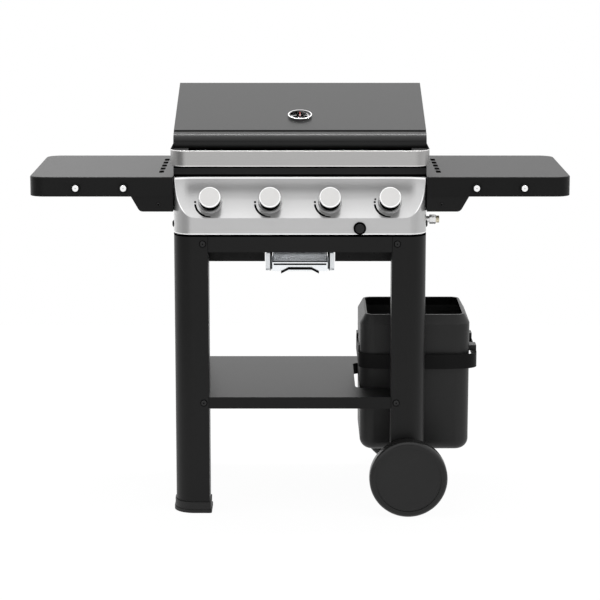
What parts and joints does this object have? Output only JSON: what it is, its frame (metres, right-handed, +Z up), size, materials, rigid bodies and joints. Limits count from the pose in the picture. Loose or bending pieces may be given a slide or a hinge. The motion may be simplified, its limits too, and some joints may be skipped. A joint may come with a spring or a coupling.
{
  "type": "gas grill",
  "caption": "Gas grill on a wheeled cart with a sloping hinged lid, scooped control panel, side shelves, grease tray and a waste bin in a hoop.",
  "frame": {"origin": "on the ground, midway between the shelf ends and midway between the wheels' outer faces", "axes": "+X to the right along the shelves, +Y to the back, +Z up; the control panel faces -Y"},
  "size_m": [1.365, 0.604, 1.0705],
  "materials": {
    "black_paint": "satin powder coat",
    "lid_enamel": "satin enamel",
    "firebox_enamel": "matt enamel",
    "black_plastic": "fine grain",
    "panel_steel": "satin",
    "band_steel": "brushed along its length",
    "bright_metal": "satin chrome",
    "sheet_steel": "galvanised",
    "wire": "plated",
    "cast": "matt enamel",
    "brass": "plain",
    "ceramic": "white glaze",
    "button_plastic": "gloss",
    "glass": "clear",
    "needle_paint": "satin"
  },
  "bodies": {
    "frame": {"leg_front_left": "black_paint", "leg_front_right": "black_paint", "leg_rear_left": "black_paint", "leg_rear_right": "black_paint", "front_apron": "black_paint", "rear_apron": "black_paint", "side_rails": "black_paint", "bottom_shelf": "black_paint", "bin_hoop": "black_paint", "hoop_brackets": "black_paint", "side_shelf_left": "black_paint", "side_shelf_right": "black_paint", "shelf_brackets": "black_paint", "frame_screws": "black_paint", "hinge_brackets": "black_paint", "firebox": "firebox_enamel", "drip_pan": "firebox_enamel", "leg_feet": "black_plastic", "hook_bushes": "black_plastic", "igniter_module": "black_plastic", "control_panel": "panel_steel", "knob_bezels": "bright_metal", "hook_pegs": "bright_metal", "wheel_axle": "sheet_steel", "tray_rails": "sheet_steel", "burners": "sheet_steel", "flame_tamers": "sheet_steel", "gas_manifold": "sheet_steel", "warming_rack": "wire", "cooking_grates": "cast", "gas_valves": "brass", "gas_inlet": "brass", "igniter_electrodes": "ceramic"},
    "lid": {"lid_skin": "lid_enamel", "lid_ends": "lid_enamel", "lid_handle": "band_steel", "handle_brackets": "black_plastic", "hinge_leaves": "black_paint", "thermometer_case": "bright_metal", "thermometer_glass": "glass"},
    "needle": {"thermometer_needle": "needle_paint"},
    "igniter_button": {"igniter_button": "button_plastic"},
    "wheel_front": {"wheel_front": "black_plastic"},
    "wheel_rear": {"wheel_rear": "black_plastic"},
    "grease_tray": {"grease_tray": "sheet_steel", "tray_handle": "black_plastic"},
    "bin": {"bin": "black_plastic"},
    "bin_collar": {"bin_collar": "black_plastic"},
    "spindle_1": {"valve_spindle_1": "sheet_steel"},
    "knob_1": {"knob_1": "black_plastic", "knob_cap_1": "bright_metal"},
    "spindle_2": {"valve_spindle_2": "sheet_steel"},
    "knob_2": {"knob_2": "black_plastic", "knob_cap_2": "bright_metal"},
    "spindle_3": {"valve_spindle_3": "sheet_steel"},
    "knob_3": {"knob_3": "black_plastic", "knob_cap_3": "bright_metal"},
    "spindle_4": {"valve_spindle_4": "sheet_steel"},
    "knob_4": {"knob_4": "black_plastic", "knob_cap_4": "bright_metal"}
  },
  "joints": [
    {"name": "lid_hinge", "type": "hinge", "parent": "frame", "child": "lid", "pos_m": [0, 0.222, 0.891], "axis": [-1, 0, 0], "range_deg": [0, 85]},
    {"name": "needle_turn", "type": "hinge", "parent": "lid", "child": "needle", "pos_m": [0, -0.075, 1.0045], "axis": [0, 0.2723, -0.9622], "range_deg": [0, 270]},
    {"name": "igniter_press", "type": "slide", "parent": "frame", "child": "igniter_button", "axis": [0, 1, 0], "range_m": [0, 0.0045], "stiffness_N_per_m": 500, "springref_m": -0.002},
    {"name": "wheel_front_roll", "type": "hinge", "parent": "frame", "child": "wheel_front", "pos_m": [0.277, 0, 0.1], "axis": [0, 1, 0], "continuous": true},
    {"name": "wheel_rear_roll", "type": "hinge", "parent": "frame", "child": "wheel_rear", "pos_m": [0.277, 0, 0.1], "axis": [0, 1, 0], "continuous": true},
    {"name": "tray_slide", "type": "slide", "parent": "frame", "child": "grease_tray", "axis": [0, -1, 0], "range_m": [0, 0.2]},
    {"name": "bin_lift", "type": "slide", "parent": "frame", "child": "bin", "axis": [0, 0, 1], "range_m": [0, 0.09]},
    {"name": "collar_lift", "type": "slide", "parent": "bin", "child": "bin_collar", "axis": [0, 0, 1], "range_m": [0, 0.045]},
    {"name": "spindle_1_push", "type": "slide", "parent": "frame", "child": "spindle_1", "axis": [0, 0.8949, -0.4462], "range_m": [0, 0.003], "stiffness_N_per_m": 1500, "springref_m": -0.002},
    {"name": "knob_1_turn", "type": "hinge", "parent": "spindle_1", "child": "knob_1", "pos_m": [-0.2265, -0.22619, 0.8041], "axis": [0, -0.8949, 0.4462], "range_deg": [0, 180]},
    {"name": "spindle_2_push", "type": "slide", "parent": "frame", "child": "spindle_2", "axis": [0, 0.8949, -0.4462], "range_m": [0, 0.003], "stiffness_N_per_m": 1500, "springref_m": -0.002},
    {"name": "knob_2_turn", "type": "hinge", "parent": "spindle_2", "child": "knob_2", "pos_m": [-0.0755, -0.22619, 0.8041], "axis": [0, -0.8949, 0.4462], "range_deg": [0, 180]},
    {"name": "spindle_3_push", "type": "slide", "parent": "frame", "child": "spindle_3", "axis": [0, 0.8949, -0.4462], "range_m": [0, 0.003], "stiffness_N_per_m": 1500, "springref_m": -0.002},
    {"name": "knob_3_turn", "type": "hinge", "parent": "spindle_3", "child": "knob_3", "pos_m": [0.0755, -0.22619, 0.8041], "axis": [0, -0.8949, 0.4462], "range_deg": [0, 180]},
    {"name": "spindle_4_push", "type": "slide", "parent": "frame", "child": "spindle_4", "axis": [0, 0.8949, -0.4462], "range_m": [0, 0.003], "stiffness_N_per_m": 1500, "springref_m": -0.002},
    {"name": "knob_4_turn", "type": "hinge", "parent": "spindle_4", "child": "knob_4", "pos_m": [0.2265, -0.22619, 0.8041], "axis": [0, -0.8949, 0.4462], "range_deg": [0, 180]}
  ]
}
